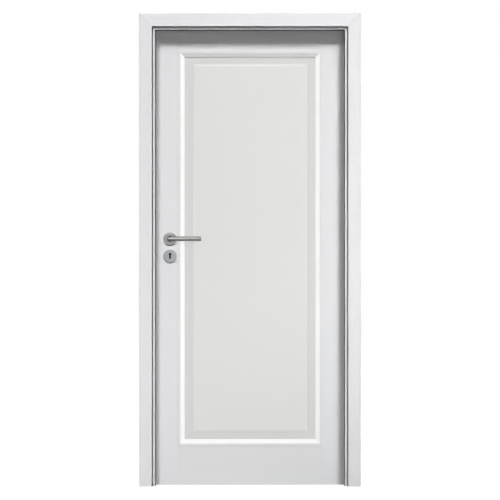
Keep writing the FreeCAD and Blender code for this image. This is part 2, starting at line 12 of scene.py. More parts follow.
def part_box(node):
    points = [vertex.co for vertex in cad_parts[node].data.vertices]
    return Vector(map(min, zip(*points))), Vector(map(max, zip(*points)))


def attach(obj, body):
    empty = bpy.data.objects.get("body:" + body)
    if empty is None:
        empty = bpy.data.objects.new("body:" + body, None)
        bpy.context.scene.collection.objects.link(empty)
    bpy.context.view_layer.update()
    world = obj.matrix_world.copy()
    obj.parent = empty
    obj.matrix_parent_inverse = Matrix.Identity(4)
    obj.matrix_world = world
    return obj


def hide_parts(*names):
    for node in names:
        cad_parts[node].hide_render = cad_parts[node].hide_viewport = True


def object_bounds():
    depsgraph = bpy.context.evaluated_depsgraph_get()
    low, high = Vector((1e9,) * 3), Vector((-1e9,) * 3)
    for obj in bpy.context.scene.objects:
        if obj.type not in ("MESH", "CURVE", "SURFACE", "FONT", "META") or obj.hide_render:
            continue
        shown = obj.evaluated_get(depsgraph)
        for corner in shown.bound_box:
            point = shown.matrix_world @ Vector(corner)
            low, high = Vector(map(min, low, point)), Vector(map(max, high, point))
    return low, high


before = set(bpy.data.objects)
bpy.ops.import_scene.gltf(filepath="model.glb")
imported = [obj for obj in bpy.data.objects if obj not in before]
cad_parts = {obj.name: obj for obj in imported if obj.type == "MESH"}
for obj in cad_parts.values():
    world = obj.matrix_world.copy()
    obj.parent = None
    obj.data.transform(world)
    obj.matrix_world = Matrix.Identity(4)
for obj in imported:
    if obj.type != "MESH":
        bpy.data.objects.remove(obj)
CAD_LOW, CAD_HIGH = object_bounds()

Socket = bpy.types.NodeSocket
Shape = bmesh.types.BMesh
Edges = list[bmesh.types.BMEdge]
Pair = tuple[float, float]
Triple = tuple[float, float, float]

LOG = logging.getLogger("door")
MM = 0.001
MERGE_DISTANCE = 1e-6
FLAT_ANGLE = math.radians(0.3)
SHARP_ANGLE = math.radians(40.0)
FULL_WEIGHT = 100
SINE_OF_45 = 0.7071


class Grain(Enum):
    """Scale of a pattern's coordinates, small along the way that the grain or brushing runs."""

    ACROSS = (0.03, 1.0, 1.0)
    UPRIGHT = (1.0, 1.0, 0.03)


class Side(Enum):
    """The two faces of the leaf: the push side of the photograph, and the pull side behind it."""

    FRONT = "front"
    BACK = "back"


# Shader sheets


class Sheet:
    """A node tree with short ways of adding and joining nodes."""

    def __init__(self, tree: bpy.types.NodeTree) -> None:
        """Keeps the tree and empties it.

        Args:
            tree: Node tree of a material, a world or a group.
        """
        self.tree = tree
        tree.nodes.clear()

    def fill(self, node: bpy.types.Node, inputs: dict[str | int, Any]) -> bpy.types.Node:
        """Sets the inputs of a node.

        Args:
            node: The node.
            inputs: Values or output sockets by input name or number.

        Returns:
            The same node.
        """
        for key, value in inputs.items():
            if isinstance(value, Socket):
                self.tree.links.new(value, node.inputs[key])
            else:
                node.inputs[key].default_value = value
        return node

    def add(self, kind: str, inputs: dict[str | int, Any] | None = None, **settings: Any) -> bpy.types.Node:
        """Adds a node.

        Args:
            kind: Blender's name of the node type, without the word ShaderNode.
            inputs: Values or output sockets by input name or number.
            settings: Properties of the node.

        Returns:
            The new node.
        """
        node = self.tree.nodes.new("ShaderNode" + kind)
        for name, value in settings.items():
            setattr(node, name, value)
        return self.fill(node, inputs or {})

    def math(self, operation: str, *values: Any) -> Socket:
        """Adds a Math node whose operation takes the given numbers or sockets, in order."""
        return self.add("Math", dict(enumerate(values)), operation=operation).outputs[0]

    def noise(self, vector: Socket, scale: Any, detail: float, roughness: float = 0.5) -> Socket:
        """Adds a Noise texture whose value lies round 0.

        Args:
            vector: Coordinates.
            scale: Pattern repeats a metre.
            detail: Number of finer layers.
            roughness: Strength of the finer layers.

        Returns:
            Socket of the noise minus its middle.
        """
        texture = self.add("TexNoise", {"Vector": vector, "Scale": scale, "Detail": detail,
                                        "Roughness": roughness})
        return self.math("SUBTRACT", texture.outputs["Fac"], 0.5)

    def vector(self, operation: str, *values: Any) -> Socket:
        """Adds a Vector Math node whose operation takes the given vectors or sockets, in order."""
        return self.add("VectorMath", dict(enumerate(values)), operation=operation).outputs[0]

    def tinted(self, colour: Any, value: Socket) -> Socket:
        """Multiplies a colour, or the colour of a socket, by a value."""
        return self.add("VectorMath", {0: colour, "Scale": value}, operation="SCALE").outputs[0]


def new_group(name: str, inputs: Sequence[tuple[str, str]],
              outputs: Sequence[tuple[str, str]]) -> tuple[Sheet, bpy.types.NodeOutputs, bpy.types.Node]:
    """Makes an empty shader node group.

    Args:
        name: The group's name.
        inputs: Names of the inputs with their short socket types.
        outputs: The same for the outputs.

    Returns:
        The sheet, the sockets of the given inputs, and the node that takes the results.
    """
    group = bpy.data.node_groups.new(name, "ShaderNodeTree")
    sheet = Sheet(group)
    for direction, sockets in (("INPUT", inputs), ("OUTPUT", outputs)):
        for socket_name, kind in sockets:
            group.interface.new_socket(name=socket_name, in_out=direction, socket_type="NodeSocket" + kind)
    return sheet, group.nodes.new("NodeGroupInput").outputs, group.nodes.new("NodeGroupOutput")


def lacquer_group() -> bpy.types.NodeTree:
    """Builds the effect of sprayed lacquer over wood: faint clouds, telegraphed grain and orange peel.

    Returns:
        The node group.
    """
    sheet, given, result = new_group(
        "Sprayed lacquer",
        [("Vector", "Vector"), ("Stretch", "Vector"), ("Colour", "Color"), ("Spread", "Float"),
         ("Roughness", "Float"), ("Peel size", "Float")],
        [("Colour", "Color"), ("Roughness", "Float"), ("Height", "Float")])
    grain_in_tone, grain_in_height, gloss_swing = 0.45, 0.7, 0.12
    vector = given["Vector"]
    clouds = sheet.noise(vector, scale=2.3, detail=4.0, roughness=0.6)
    grain = sheet.noise(sheet.vector("MULTIPLY", vector, given["Stretch"]), scale=160.0, detail=3.0)
    peel = sheet.noise(vector, scale=given["Peel size"], detail=2.0)
    pattern = sheet.math("ADD", clouds, sheet.math("MULTIPLY", grain, grain_in_tone))
    tone = sheet.math("MULTIPLY_ADD", pattern, given["Spread"], 1.0)
    gloss = sheet.noise(vector, scale=14.0, detail=3.0)
    rough = sheet.math("MULTIPLY_ADD", gloss, gloss_swing, given["Roughness"])
    height = sheet.math("ADD", sheet.math("MULTIPLY", grain, grain_in_height), peel)
    sheet.fill(result, {"Colour": sheet.tinted(given["Colour"], tone), "Roughness": rough,
                        "Height": height})
    return sheet.tree


def brushed_group() -> bpy.types.NodeTree:
    """Builds the effect of brushed metal: fine streaks with a few deeper scratches.

    Returns:
        The node group.
    """
    sheet, given, result = new_group(
        "Brushed metal",
        [("Vector", "Vector"), ("Stretch", "Vector"), ("Colour", "Color"), ("Spread", "Float"),
         ("Roughness", "Float")],
        [("Colour", "Color"), ("Roughness", "Float"), ("Height", "Float")])
    scratch_share, roughness_swing = 0.6, 0.2
    run = sheet.vector("MULTIPLY", given["Vector"], given["Stretch"])
    streaks = sheet.noise(run, scale=2600.0, detail=2.0)
    scratches = sheet.noise(run, scale=620.0, detail=4.0, roughness=0.7)
    pattern = sheet.math("ADD", streaks, sheet.math("MULTIPLY", scratches, scratch_share))
    tone = sheet.math("MULTIPLY_ADD", pattern, given["Spread"], 1.0)
    rough = sheet.math("MULTIPLY_ADD", pattern, roughness_swing, given["Roughness"])
    sheet.fill(result, {"Colour": sheet.tinted(given["Colour"], tone), "Roughness": rough,
                        "Height": pattern})
    return sheet.tree


def handling_group() -> bpy.types.NodeTree:
    """Builds the effect of handling: soft smudges that dull a polished or lacquered surface.

    Returns:
        The node group.
    """
    sheet, given, result = new_group(
        "Handling marks",
        [("Vector", "Vector"), ("Size", "Float"), ("Roughness", "Float"), ("Amount", "Float")],
        [("Roughness", "Float")])
    faintest, fullest = 0.02, 0.2
    blotches = sheet.noise(given["Vector"], scale=given["Size"], detail=3.0, roughness=0.65)
    mask = sheet.add("MapRange", {"Value": blotches, "From Min": faintest, "From Max": fullest}, clamp=True)
    rough = sheet.math("MULTIPLY_ADD", mask.outputs[0], given["Amount"], given["Roughness"])
    sheet.fill(result, {"Roughness": rough})
    return sheet.tree


def joint_group() -> bpy.types.NodeTree:
    """Builds the effect of mitred and butted joints: a mask of thin lines where boards meet.

    The mitres run at 45 degrees through the four corners of a rectangle about a centre, and the butt
    joints run upright along its two sides.

    Returns:
        The node group.
    """
    sheet, given, result = new_group(
        "Board joints",
        [("Vector", "Vector"), ("Centre", "Vector"), ("Half size", "Vector"), ("Width", "Float"),
         ("Butted", "Float")],
        [("Mask", "Float")])
    folded = sheet.vector("ABSOLUTE", sheet.vector("SUBTRACT", given["Vector"], given["Centre"]))
    past = sheet.add("SeparateXYZ", {0: sheet.vector("SUBTRACT", folded, given["Half size"])}).outputs
    off_mitre = sheet.math("MULTIPLY", sheet.math("SUBTRACT", past["X"], past["Z"]), SINE_OF_45)
    off_joint = sheet.add("Mix", {"Factor": given["Butted"], "A": off_mitre, "B": past["X"]})
    distance = sheet.math("ABSOLUTE", off_joint.outputs[0])
    mask = sheet.add("MapRange", {"Value": distance, "From Max": given["Width"], "To Min": 1.0,
                                  "To Max": 0.0}, interpolation_type="SMOOTHSTEP")
    sheet.fill(result, {"Mask": mask.outputs[0]})
    return sheet.tree


GROUPS: dict[str, bpy.types.NodeTree] = {}


def group_node(sheet: Sheet, name: str, inputs: dict[str | int, Any]) -> bpy.types.Node:
    """Places a shared effect in a material.

    Args:
        sheet: The material's sheet.
        name: Short name of the effect.
        inputs: Values or sockets of its inputs.

    Returns:
        The group node.
    """
    makers = {"lacquer": lacquer_group, "brushed": brushed_group, "handling": handling_group,
              "joints": joint_group}
    if name not in GROUPS:
        GROUPS[name] = makers[name]()
    return sheet.add("Group", inputs, node_tree=GROUPS[name])


# Finishes


def start_material(name: str) -> tuple[Sheet, Socket]:
    """Makes an empty material.

    Args:
        name: The material's name.

    Returns:
        Its sheet and the socket of its Object coordinates.
    """
    material = bpy.data.materials.new(name)
    material.use_nodes = True
    sheet = Sheet(material.node_tree)
    return sheet, sheet.add("TexCoord").outputs["Object"]


@dataclass(frozen=True)
class Joints:
    """Where the boards of one layer meet."""

    centre: Triple
    half_size: Triple
    butted: bool = False
    width: float = 1.6 * MM
    depth_of_tone: float = 0.22

    def darkened(self, sheet: Sheet, where: Socket, colour: Socket) -> Socket:
        """Darkens a colour along the joints.

        Args:
            sheet: The material's sheet.
            where: Object coordinates.
            colour: The colour to darken.

        Returns:
            Socket of the darkened colour.
        """
        lines = group_node(sheet, "joints", {
            "Vector": where, "Centre": self.centre, "Half size": self.half_size, "Width": self.width,
            "Butted": float(self.butted)})
        tone = sheet.math("MULTIPLY_ADD", lines.outputs["Mask"], -self.depth_of_tone, 1.0)
        return sheet.tinted(colour, tone)


def mitred_frame(inner_x: str, inner_z: str) -> Joints:
    """Joints of the frame's mitred boards, from the nodes whose lowest x and z are the passage's edges."""
    middle = (CAD_LOW.x + CAD_HIGH.x) / 2
    return Joints((middle, 0.0, 0.0), (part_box(inner_x)[0].x - middle, 0.0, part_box(inner_z)[0].z))


def panel_opening(butted: bool, depth_of_tone: float) -> Joints:
    """Joints round the panel's opening, between the two rails.

    Args:
        butted: Whether the joints are the rails' ends, and not the mouldings' mitres.
        depth_of_tone: How much darker the joint is.

    Returns:
        The joints.
    """
    rail_low, rail_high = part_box("top_rail")
    low_z, high_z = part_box("bottom_rail")[1].z, rail_low.z
    middle = ((rail_low.x + rail_high.x) / 2, 0.0, (low_z + high_z) / 2)
    half = ((rail_high.x - rail_low.x) / 2, 0.0, (high_z - low_z) / 2)
    return Joints(middle, half, butted, depth_of_tone=depth_of_tone)


@dataclass(frozen=True)
class Skin:
    """What lacquer and brushed metal share: an effect along a grain, marks of handling and fine relief."""

    name: str
    colour: Triple
    grain: Grain
    spread: float
    roughness: float
    bump: float
    relief: float
    smudge_size: float
    smudges: float

    def start(self, effect: str, more: dict[str, float]) -> tuple[Sheet, Socket, Socket, dict[str, Socket]]:
        """Starts the material.

        Args:
            effect: Short name of its effect.
            more: The effect's further inputs.

        Returns:
            The sheet, the Object coordinates, the colour, and the shader's roughness and normal.
        """
        sheet, where = start_material(self.name)
        skin = group_node(sheet, effect, {
            "Vector": where, "Stretch": self.grain.value, "Colour": (*self.colour, 1.0),
            "Spread": self.spread, "Roughness": self.roughness, **more}).outputs
        marks = group_node(sheet, "handling", {
            "Vector": where, "Size": self.smudge_size, "Roughness": skin["Roughness"],
            "Amount": self.smudges})
        bump = sheet.add("Bump", {"Strength": self.bump, "Distance": self.relief, "Height": skin["Height"]})
        return sheet, where, skin["Colour"], {
            "Roughness": marks.outputs["Roughness"], "Normal": bump.outputs[0]}


@dataclass(frozen=True)
class Lacquer(Skin):
    """White lacquer over wood or board."""

    spread: float = 0.025
    roughness: float = 0.36
    bump: float = 0.10
    relief: float = 0.4 * MM
    smudge_size: float = 9.0
    smudges: float = 0.06
    peel_size: float = 420.0
    ior: float = 1.48
    joints: Joints | None = None

    def build(self) -> None:
        """Builds the material."""
        sheet, where, colour, surface = self.start("lacquer", {"Peel size": self.peel_size})
        if self.joints:
            colour = self.joints.darkened(sheet, where, colour)
        shader = sheet.add("BsdfPrincipled", {"Base Color": colour, "IOR": self.ior, **surface})
        sheet.add("OutputMaterial", {"Surface": shader.outputs[0]})


@dataclass(frozen=True)
class Brushed(Skin):
    """Brushed or turned metal."""

    spread: float = 0.16
    roughness: float = 0.30
    bump: float = 0.12
    relief: float = 0.05 * MM
    smudge_size: float = 60.0
    smudges: float = 0.12
    rim_tint: float = 1.0

    def build(self) -> None:
        """Builds the material."""
        sheet, _, colour, surface = self.start("brushed", {})
        shader = sheet.add("BsdfPrincipled", {
            "Base Color": colour, "Metallic": 1.0, "Specular Tint": (self.rim_tint,) * 3 + (1.0,), **surface})
        sheet.add("OutputMaterial", {"Surface": shader.outputs[0]})


@dataclass(frozen=True)
class Matt:
    """Rubber, moulded plastic or plain dark metal with a fine pebbled skin."""

    name: str
    colour: Triple
    roughness: float
    pebble_size: float = 900.0
    dust_size: float = 36.0
    dust_swing: float = 0.2
    bump: float = 0.25
    relief: float = 0.15 * MM
    spread: float = 0.18
    metallic: float = 0.0
    gloss: float = 0.5

    def build(self) -> None:
        """Builds the material."""
        sheet, where = start_material(self.name)
        pebbles = sheet.noise(where, scale=self.pebble_size, detail=3.0, roughness=0.6)
        dust = sheet.noise(where, scale=self.dust_size, detail=4.0, roughness=0.6)
        tone = sheet.math("MULTIPLY_ADD", sheet.math("ADD", pebbles, dust), self.spread, 1.0)
        rough = sheet.math("MULTIPLY_ADD", dust, self.dust_swing, self.roughness)
        bump = sheet.add("Bump", {"Strength": self.bump, "Distance": self.relief, "Height": pebbles})
        shader = sheet.add("BsdfPrincipled", {
            "Base Color": sheet.tinted(self.colour, tone), "Roughness": rough,
            "Normal": bump.outputs[0], "Metallic": self.metallic, "Specular IOR Level": self.gloss})
        sheet.add("OutputMaterial", {"Surface": shader.outputs[0]})


FRAME_JOINTS = mitred_frame("lining_hinge_side", "lining_head")
RAIL_ENDS = panel_opening(butted=True, depth_of_tone=0.07)
MOULDING_MITRES = panel_opening(butted=False, depth_of_tone=0.14)
# The upright casings take a darker copy of the head casings' lacquer: painted shade, as the casings darken
# towards the floor.
FRAME_UPRIGHT_SHADED = Lacquer("Frame lacquer upright with painted shade", (0.765, 0.765, 0.778), Grain.UPRIGHT, joints=FRAME_JOINTS)
FRAME_LEVEL = Lacquer("Frame lacquer level", (0.785, 0.785, 0.798), Grain.ACROSS, joints=FRAME_JOINTS)
# The linings take lit and shaded copies of one lacquer: the upright linings' darker copy is painted shade in
# the reveal, the head lining's lighter copy is painted light in the shade under the head casing.
LINING_UPRIGHT_SHADED = Lacquer("Lining lacquer upright with painted shade", (0.660, 0.660, 0.671), Grain.UPRIGHT, joints=FRAME_JOINTS)
LINING_LEVEL_LIT = Lacquer("Lining lacquer level with painted light", (0.785, 0.785, 0.798), Grain.ACROSS, joints=FRAME_JOINTS)
LEAF_UPRIGHT = Lacquer("Leaf lacquer upright", (0.700, 0.700, 0.711), Grain.UPRIGHT, joints=RAIL_ENDS)
LEAF_LEVEL = Lacquer("Leaf lacquer level", (0.700, 0.700, 0.704), Grain.ACROSS, joints=RAIL_ENDS)
BAND_UPRIGHT = Lacquer("Band lacquer upright", (0.690, 0.690, 0.688), Grain.UPRIGHT, joints=MOULDING_MITRES)
BAND_LEVEL = Lacquer("Band lacquer level", (0.690, 0.690, 0.688), Grain.ACROSS, joints=MOULDING_MITRES)
PANEL_LACQUER = Lacquer("Panel lacquer", (0.680, 0.680, 0.667), Grain.UPRIGHT, spread=0.04, roughness=0.52)
# The sunk border takes a darker copy of the panel's lacquer: painted shade in the recess round the raised
# field.
BORDER_SHADE_LACQUER = Lacquer("Panel border lacquer with painted shade", (0.612, 0.612, 0.600), Grain.UPRIGHT, spread=0.03,
                         roughness=0.52)
MOULDING_UPRIGHT = Lacquer("Moulding lacquer upright", (0.985, 0.985, 0.977), Grain.UPRIGHT, roughness=0.46,
                           spread=0.012, joints=MOULDING_MITRES)
# The level mouldings take a darker copy of the upright mouldings' lacquer: painted shade, after the top
# moulding, which faces down.
MOULDING_LEVEL_SHADED = Lacquer("Moulding lacquer level with painted shade", (0.800, 0.800, 0.792), Grain.ACROSS, roughness=0.62,
                         spread=0.012, joints=MOULDING_MITRES)
LEVER_STEEL = Brushed("Lever steel", (0.195, 0.195, 0.188), Grain.ACROSS, roughness=0.40, rim_tint=0.25)
ROSE_STEEL = Brushed("Rose steel", (0.290, 0.290, 0.283), Grain.UPRIGHT, roughness=0.36, rim_tint=0.35)
ESCUTCHEON_STEEL = Brushed("Escutcheon steel", (0.285, 0.303, 0.306), Grain.UPRIGHT, roughness=0.36,
                           rim_tint=0.35)
HINGE_NICKEL = Brushed("Hinge nickel", (0.520, 0.515, 0.500), Grain.UPRIGHT, roughness=0.24, spread=0.08)
PLATE_STEEL = Brushed("Plate steel", (0.560, 0.558, 0.550), Grain.UPRIGHT, roughness=0.34)
SCREW_STEEL = Brushed("Screw steel", (0.450, 0.448, 0.440), Grain.ACROSS, roughness=0.3, spread=0.1)
BEARING_PLASTIC = Matt("Bearing plastic", (0.085, 0.085, 0.085), 0.45)
SEAL_RUBBER = Matt("Seal rubber", (0.115, 0.115, 0.120), 0.72)
LOCK_ZINC = Matt("Lock zinc", (0.05, 0.05, 0.055), 0.55, metallic=0.6)
# Near-black for the liner inside the keyhole: painted shade.
KEYHOLE_SHADE = Matt("Keyhole painted shade", (0.006, 0.006, 0.006), 0.9, gloss=0.05)
Finish = Lacquer | Brushed | Matt


def material_of(finish: Finish) -> bpy.types.Material:
    """The material of a finish, built when it is first asked for.

    Args:
        finish: The finish.

    Returns:
        Its material.
    """
    if finish.name not in bpy.data.materials:
        finish.build()
    return bpy.data.materials[finish.name]


# Meshes


def dress(node: str, finish: Finish) -> None:
    """Gives a CAD node its finish.

    Args:
        node: The node's name.
        finish: The finish whose material it takes.
    """
    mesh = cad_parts[node].data
    mesh.materials.clear()
    mesh.materials.append(material_of(finish))
    LOG.info("dressed %s in %s", node, finish.name)


def add_piece(name: str, shape: Shape, finish: Finish, body: str,
              stands_for: Sequence[str] = (), even_faces: bool = False, second: Finish | None = None,
              takes_second: Callable[[Vector], bool] | None = None) -> None:
    """Turns a bmesh into a finished piece of the object.

    Args:
        name: Name of the piece.
        shape: The bmesh, which is freed.
        finish: Finish of the piece.
        body: Body that it rides on.
        stands_for: CAD nodes that it replaces.
        even_faces: Whether broad faces keep their own normals beside a rounded edge.
        second: Another finish on some of its faces.
        takes_second: Test of a face's middle for that finish.
    """
    mesh = bpy.data.meshes.new(name)
    shape.to_mesh(mesh)
    shape.free()
    mesh.shade_smooth()
    mesh.set_sharp_from_angle(angle=SHARP_ANGLE)
    mesh.materials.append(material_of(finish))
    if second and takes_second:
        mesh.materials.append(material_of(second))
        for face in mesh.polygons:
            face.material_index = int(takes_second(face.center))
    piece = bpy.data.objects.new(name, mesh)
    bpy.context.scene.collection.objects.link(piece)
    if even_faces:
        weighting = piece.modifiers.new("Even faces", "WEIGHTED_NORMAL")
        weighting.keep_sharp = True
        weighting.weight = FULL_WEIGHT
    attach(piece, body)
    if stands_for:
        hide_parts(*stands_for)
    LOG.info("built %s with %d faces", name, len(mesh.polygons))


def merged(shape: Shape) -> None:
    """Merges the doubled corners of a bmesh."""
    bmesh.ops.remove_doubles(shape, verts=shape.verts[:], dist=MERGE_DISTANCE)


def filled(shape: Shape, edges: Edges) -> None:
    """Fills the face that loops of edges bound."""
    bmesh.ops.triangle_fill(shape, edges=edges, use_beauty=True)


def turned_outwards(shape: Shape) -> None:
    """Turns the faces of a closed bmesh outwards."""
    bmesh.ops.recalc_face_normals(shape, faces=shape.faces[:])


def bevelled(shape: Shape, edges: Edges, width: float, segments: int) -> None:
    """Rounds edges of a bmesh by a width on each face, with a number of strips across the rounding."""
    bmesh.ops.bevel(shape, geom=edges, offset=width, offset_type="OFFSET", segments=segments,
                    profile=0.5, affect="EDGES", clamp_overlap=True, material=-1)


def eased_copy(node: str, width: float, segments: int = 2, least_angle: float = 35.0) -> Shape:
    """Copies a CAD node and eases its sharp edges, as a maker sands them.

    Args:
        node: The node's name.
        width: Width of the easing.
        segments: Number of strips across it.
        least_angle: Edges that turn by fewer degrees stay as they are.

    Returns:
        The bmesh of the copy.
    """
    shape = bmesh.new()
    shape.from_mesh(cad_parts[node].data)
    merged(shape)
    bmesh.ops.dissolve_limit(shape, angle_limit=FLAT_ANGLE, verts=shape.verts[:], edges=shape.edges[:])
    least = math.radians(least_angle)
    sharp = [edge for edge in shape.edges if len(edge.link_faces) == 2 and edge.calc_face_angle(0.0) > least]
    bevelled(shape, sharp, width, segments)
    merged(shape)
    return shape


def arc_points(centre: Pair, radius: float, start: float, end: float, steps: int) -> list[Pair]:
    """Points along an arc between two angles in degrees, both ends included, in equal steps."""
    angles = [math.radians(start + (end - start) * step / steps) for step in range(steps + 1)]
    return [(centre[0] + radius * math.cos(a), centre[1] + radius * math.sin(a)) for a in angles]


def turned_shape(section: Sequence[Pair], steps: int, closed: bool) -> Shape:
    """Turns a section of (radius, height) about the Z axis.

    Args:
        section: Points of the section.
        steps: Number of runs round the axis.
        closed: Whether the section's last point joins its first.

    Returns:
        The bmesh, with its faces outwards.
    """
    shape = bmesh.new()
    verts = [shape.verts.new((radius, 0.0, height)) for radius, height in section]
    pairs = list(zip(verts, verts[1:]))
    if closed:
        pairs.append((verts[-1], verts[0]))
    edges = [shape.edges.new(pair) for pair in pairs]
    bmesh.ops.spin(shape, geom=verts + edges, cent=(0, 0, 0), axis=(0, 0, 1), angle=math.tau,
                   steps=steps, use_merge=True)
    merged(shape)
    turned_outwards(shape)
    return shape


def outline_loop(shape: Shape, points: Sequence[Pair], height: float) -> Edges:
    """Adds a closed loop of edges through points (x, y) at one height, and returns its edges."""
    verts = [shape.verts.new((x, y, height)) for x, y in points]
    return [shape.edges.new((verts[i], verts[(i + 1) % len(verts)])) for i in range(len(verts))]


def drawn_out(shape: Shape, ring: Edges, place: Callable[[Vector], Vector]) -> Edges:
    """Draws a ring of edges out to a new ring.

    Args:
        shape: The bmesh.
        ring: Edges of the ring.
        place: The new place of a corner of the ring.

    Returns:
        Edges of the new ring.
    """
    made = bmesh.ops.extrude_edge_only(shape, edges=ring)["geom"]
    verts = [item for item in made if isinstance(item, bmesh.types.BMVert)]
    for vert in verts:
        vert.co = place(vert.co)
    return [item for item in made
            if isinstance(item, bmesh.types.BMEdge) and all(vert in verts for vert in item.verts)]


def recess(shape: Shape, rim: Edges, depth: float, floor: bool) -> None:
    """Sinks walls from a rim, with or without a floor.

    Args:
        shape: The bmesh.
        rim: The rim's loop of edges.
        depth: How deep the walls go.
        floor: Whether the recess is closed at its foot.
    """
    foot = drawn_out(shape, rim, lambda spot: spot - Vector((0, 0, depth)))
    if floor:
        filled(shape, foot)


def placed(shape: Shape, matrix: Matrix) -> Shape:
    """Moves a bmesh to its place and turns its faces outwards if the move mirrors it.

    Args:
        shape: The bmesh.
        matrix: The move.

    Returns:
        The same bmesh.
    """
    bmesh.ops.transform(shape, matrix=matrix, verts=shape.verts[:])
    if matrix.determinant() < 0:
        bmesh.ops.reverse_faces(shape, faces=shape.faces[:])
    return shape


def facing(axis: Vector, at: Vector) -> Matrix:
    """Matrix that moves a piece drawn along +Z to a place, and turns it to look along an axis."""
    return Matrix.Translation(at) @ axis.to_track_quat("Z", "Y").to_matrix().to_4x4()


def node_middle(node: str) -> Vector:
    """Middle of a CAD node's box."""
    low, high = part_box(node)
    return (low + high) / 2


# Frame


@dataclass
class DoorFrame:
    """The frame that wraps round the wall: casings, linings, seals and the strike plate."""

    easing: float = 0.45 * MM
    metal_easing: float = 0.3 * MM

    def build(self) -> None:
        """Builds the boards with eased edges and dresses the rest."""
        layers = {"front_casing": (FRAME_UPRIGHT_SHADED, FRAME_LEVEL), "lining": (LINING_UPRIGHT_SHADED, LINING_LEVEL_LIT),
                  "back_casing": (FRAME_UPRIGHT_SHADED, FRAME_LEVEL)}
        for layer, (upright, level) in layers.items():
            for place in ("hinge_side", "lock_side", "head"):
                node = f"{layer}_{place}"
                # Upright boards take their layer's darker lacquer copy, which is painted shade; the head
                # lining's lighter copy is painted light.
                finish = level if place == "head" else upright
                add_piece(f"{node}_board", eased_copy(node, self.easing), finish, "frame",
                          (node,), even_faces=True)
        for place in ("hinge_side", "lock_side", "head"):
            dress(f"seal_{place}", SEAL_RUBBER)
        add_piece("strike_plate_eased", eased_copy("strike_plate", self.metal_easing), PLATE_STEEL,
                  "frame", ("strike_plate",), even_faces=True)
        Screw().build_pair("strike_screw", "strike_plate", 1, "frame")


@dataclass
class Screw:
    """A countersunk screw head with a cross recess."""

    head_radius: float = 3.6 * MM
    proud: float = 0.25 * MM
    rim: float = 0.5 * MM
    slot_half: float = 0.45 * MM
    slot_reach: float = 1.9 * MM
    slot_depth: float = 0.9 * MM
    body_depth: float = 1.2 * MM
    from_end: float = 9.0 * MM
    steps: int = 32

    def cross(self) -> list[Pair]:
        """Corners of the cross recess.

        Returns:
            The points (x, y).
        """
        half, reach = self.slot_half, self.slot_reach
        arm = [(half, half), (half, reach), (-half, reach)]
        corners = []
        for quarter in range(4):
            turn = Matrix.Rotation(quarter * math.pi / 2, 2)
            corners += [tuple(turn @ Vector(point)) for point in arm]
        return corners

    def build_pair(self, name: str, plate: str, way: int, body: str) -> None:
        """Builds the screws at the two ends of an upright plate.

        Args:
            name: First part of the screws' names.
            plate: CAD node of the plate.
            way: Sign of the X direction that the plate looks to.
            body: Body that they ride on.
        """
        low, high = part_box(plate)
        face = high.x if way > 0 else low.x
        for end, z in (("upper", high.z - self.from_end), ("lower", low.z + self.from_end)):
            at = Vector((face, (low.y + high.y) / 2, z))
            self.build(f"{name}_{end}", Vector((way, 0, 0)), at, body)

    def build(self, name: str, axis: Vector, at: Vector, body: str) -> None:
        """Builds one screw.

        Args:
            name: Name of the piece.
            axis: Direction that the head looks to.
            at: Middle of the head on the surface that it sits on.
            body: Body that it rides on.
        """
        shape = bmesh.new()
        circle = arc_points((0, 0), self.head_radius - self.rim, 0, 360, self.steps)[:-1]
        top = outline_loop(shape, circle, self.proud)
        hole = outline_loop(shape, self.cross(), self.proud)
        filled(shape, top + hole)
        recess(shape, hole, self.slot_depth, floor=True)
        edge = drawn_out(shape, top, lambda spot: Vector((*(spot.xy.normalized() * self.head_radius), 0.0)))
        foot = drawn_out(shape, edge, lambda spot: Vector(
            (*(spot.xy.normalized() * (self.head_radius - self.rim)), -self.body_depth)))
        filled(shape, foot)
        turned_outwards(shape)
        add_piece(name, placed(shape, facing(axis, at)), SCREW_STEEL, body)


# Leaf


